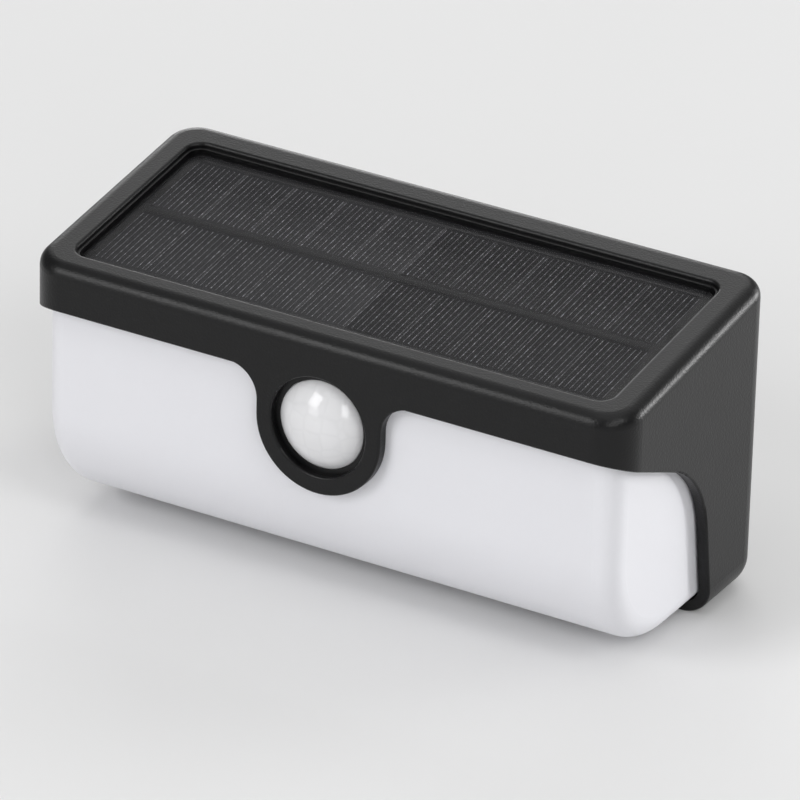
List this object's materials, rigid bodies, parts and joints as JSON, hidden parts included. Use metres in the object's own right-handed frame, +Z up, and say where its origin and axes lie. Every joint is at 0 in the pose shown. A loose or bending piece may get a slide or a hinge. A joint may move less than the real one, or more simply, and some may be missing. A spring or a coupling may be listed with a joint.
{
  "type": "solar wall light",
  "caption": "Wedge-shaped outdoor wall light with a top solar panel, a domed motion sensor, an opal wrap-round diffuser and keyholes for hanging on wall screws.",
  "frame": {"origin": "on the wall plane, midway between the centres of the two keyhole entries", "axes": "+X to the right seen from the front, +Y into the wall, +Z up; the light faces -Y"},
  "size_m": [0.18, 0.0837, 0.0894],
  "materials": {
    "black_housing": "moulded, fine satin texture",
    "opal_diffuser": "moulded opal, smooth",
    "sensor_lens": "moulded translucent white",
    "clear_cover": "clear laminate",
    "solar_cell": "dark silicon with fine grid lines",
    "circuit_board": "solder mask",
    "light_board": "white solder mask",
    "light_diode": "phosphor",
    "white_reflector": "moulded",
    "inner_black": "moulded",
    "seal_rubber": "closed-cell foam",
    "button_rubber": "moulded silicone",
    "plunger": "moulded",
    "sensor_can": "plated",
    "screw_steel": "zinc plated",
    "ferrite": "sintered",
    "capacitor_sleeve": "shrink sleeve",
    "socket_white": "moulded",
    "battery_sleeve": "shrink sleeve",
    "strap": "moulded",
    "lead_sheath": "smooth sheath"
  },
  "bodies": {
    "base": {"housing": "black_housing", "back_cover": "black_housing", "diffuser": "opal_diffuser", "pir_lens": "sensor_lens", "solar_cover": "clear_cover", "solar_cells": "solar_cell", "solar_backing": "circuit_board", "pir_board": "circuit_board", "control_board": "circuit_board", "led_board": "light_board", "leds": "light_diode", "reflector": "white_reflector", "pir_holder": "inner_black", "battery_cradle": "inner_black", "switch_body": "inner_black", "control_chip": "inner_black", "back_seal": "seal_rubber", "solar_tape": "seal_rubber", "pir_sensor": "sensor_can", "back_screws": "screw_steel", "reflector_screws": "screw_steel", "led_board_screws": "screw_steel", "pir_board_screws": "screw_steel", "control_board_screws": "screw_steel", "battery_screws": "screw_steel", "inductor": "ferrite", "capacitor": "capacitor_sleeve", "lead_sockets": "socket_white", "battery_cell": "battery_sleeve", "battery_strap": "strap", "solar_lead": "lead_sheath", "battery_lead": "lead_sheath", "led_lead": "lead_sheath", "sensor_lead": "lead_sheath"},
    "button": {"power_button": "button_rubber", "switch_plunger": "plunger"}
  },
  "joints": [
    {"name": "button_press", "type": "slide", "parent": "base", "child": "button", "axis": [0, -1, 0], "range_m": [0, 0.0015], "stiffness_N_per_m": 1200}
  ]
}
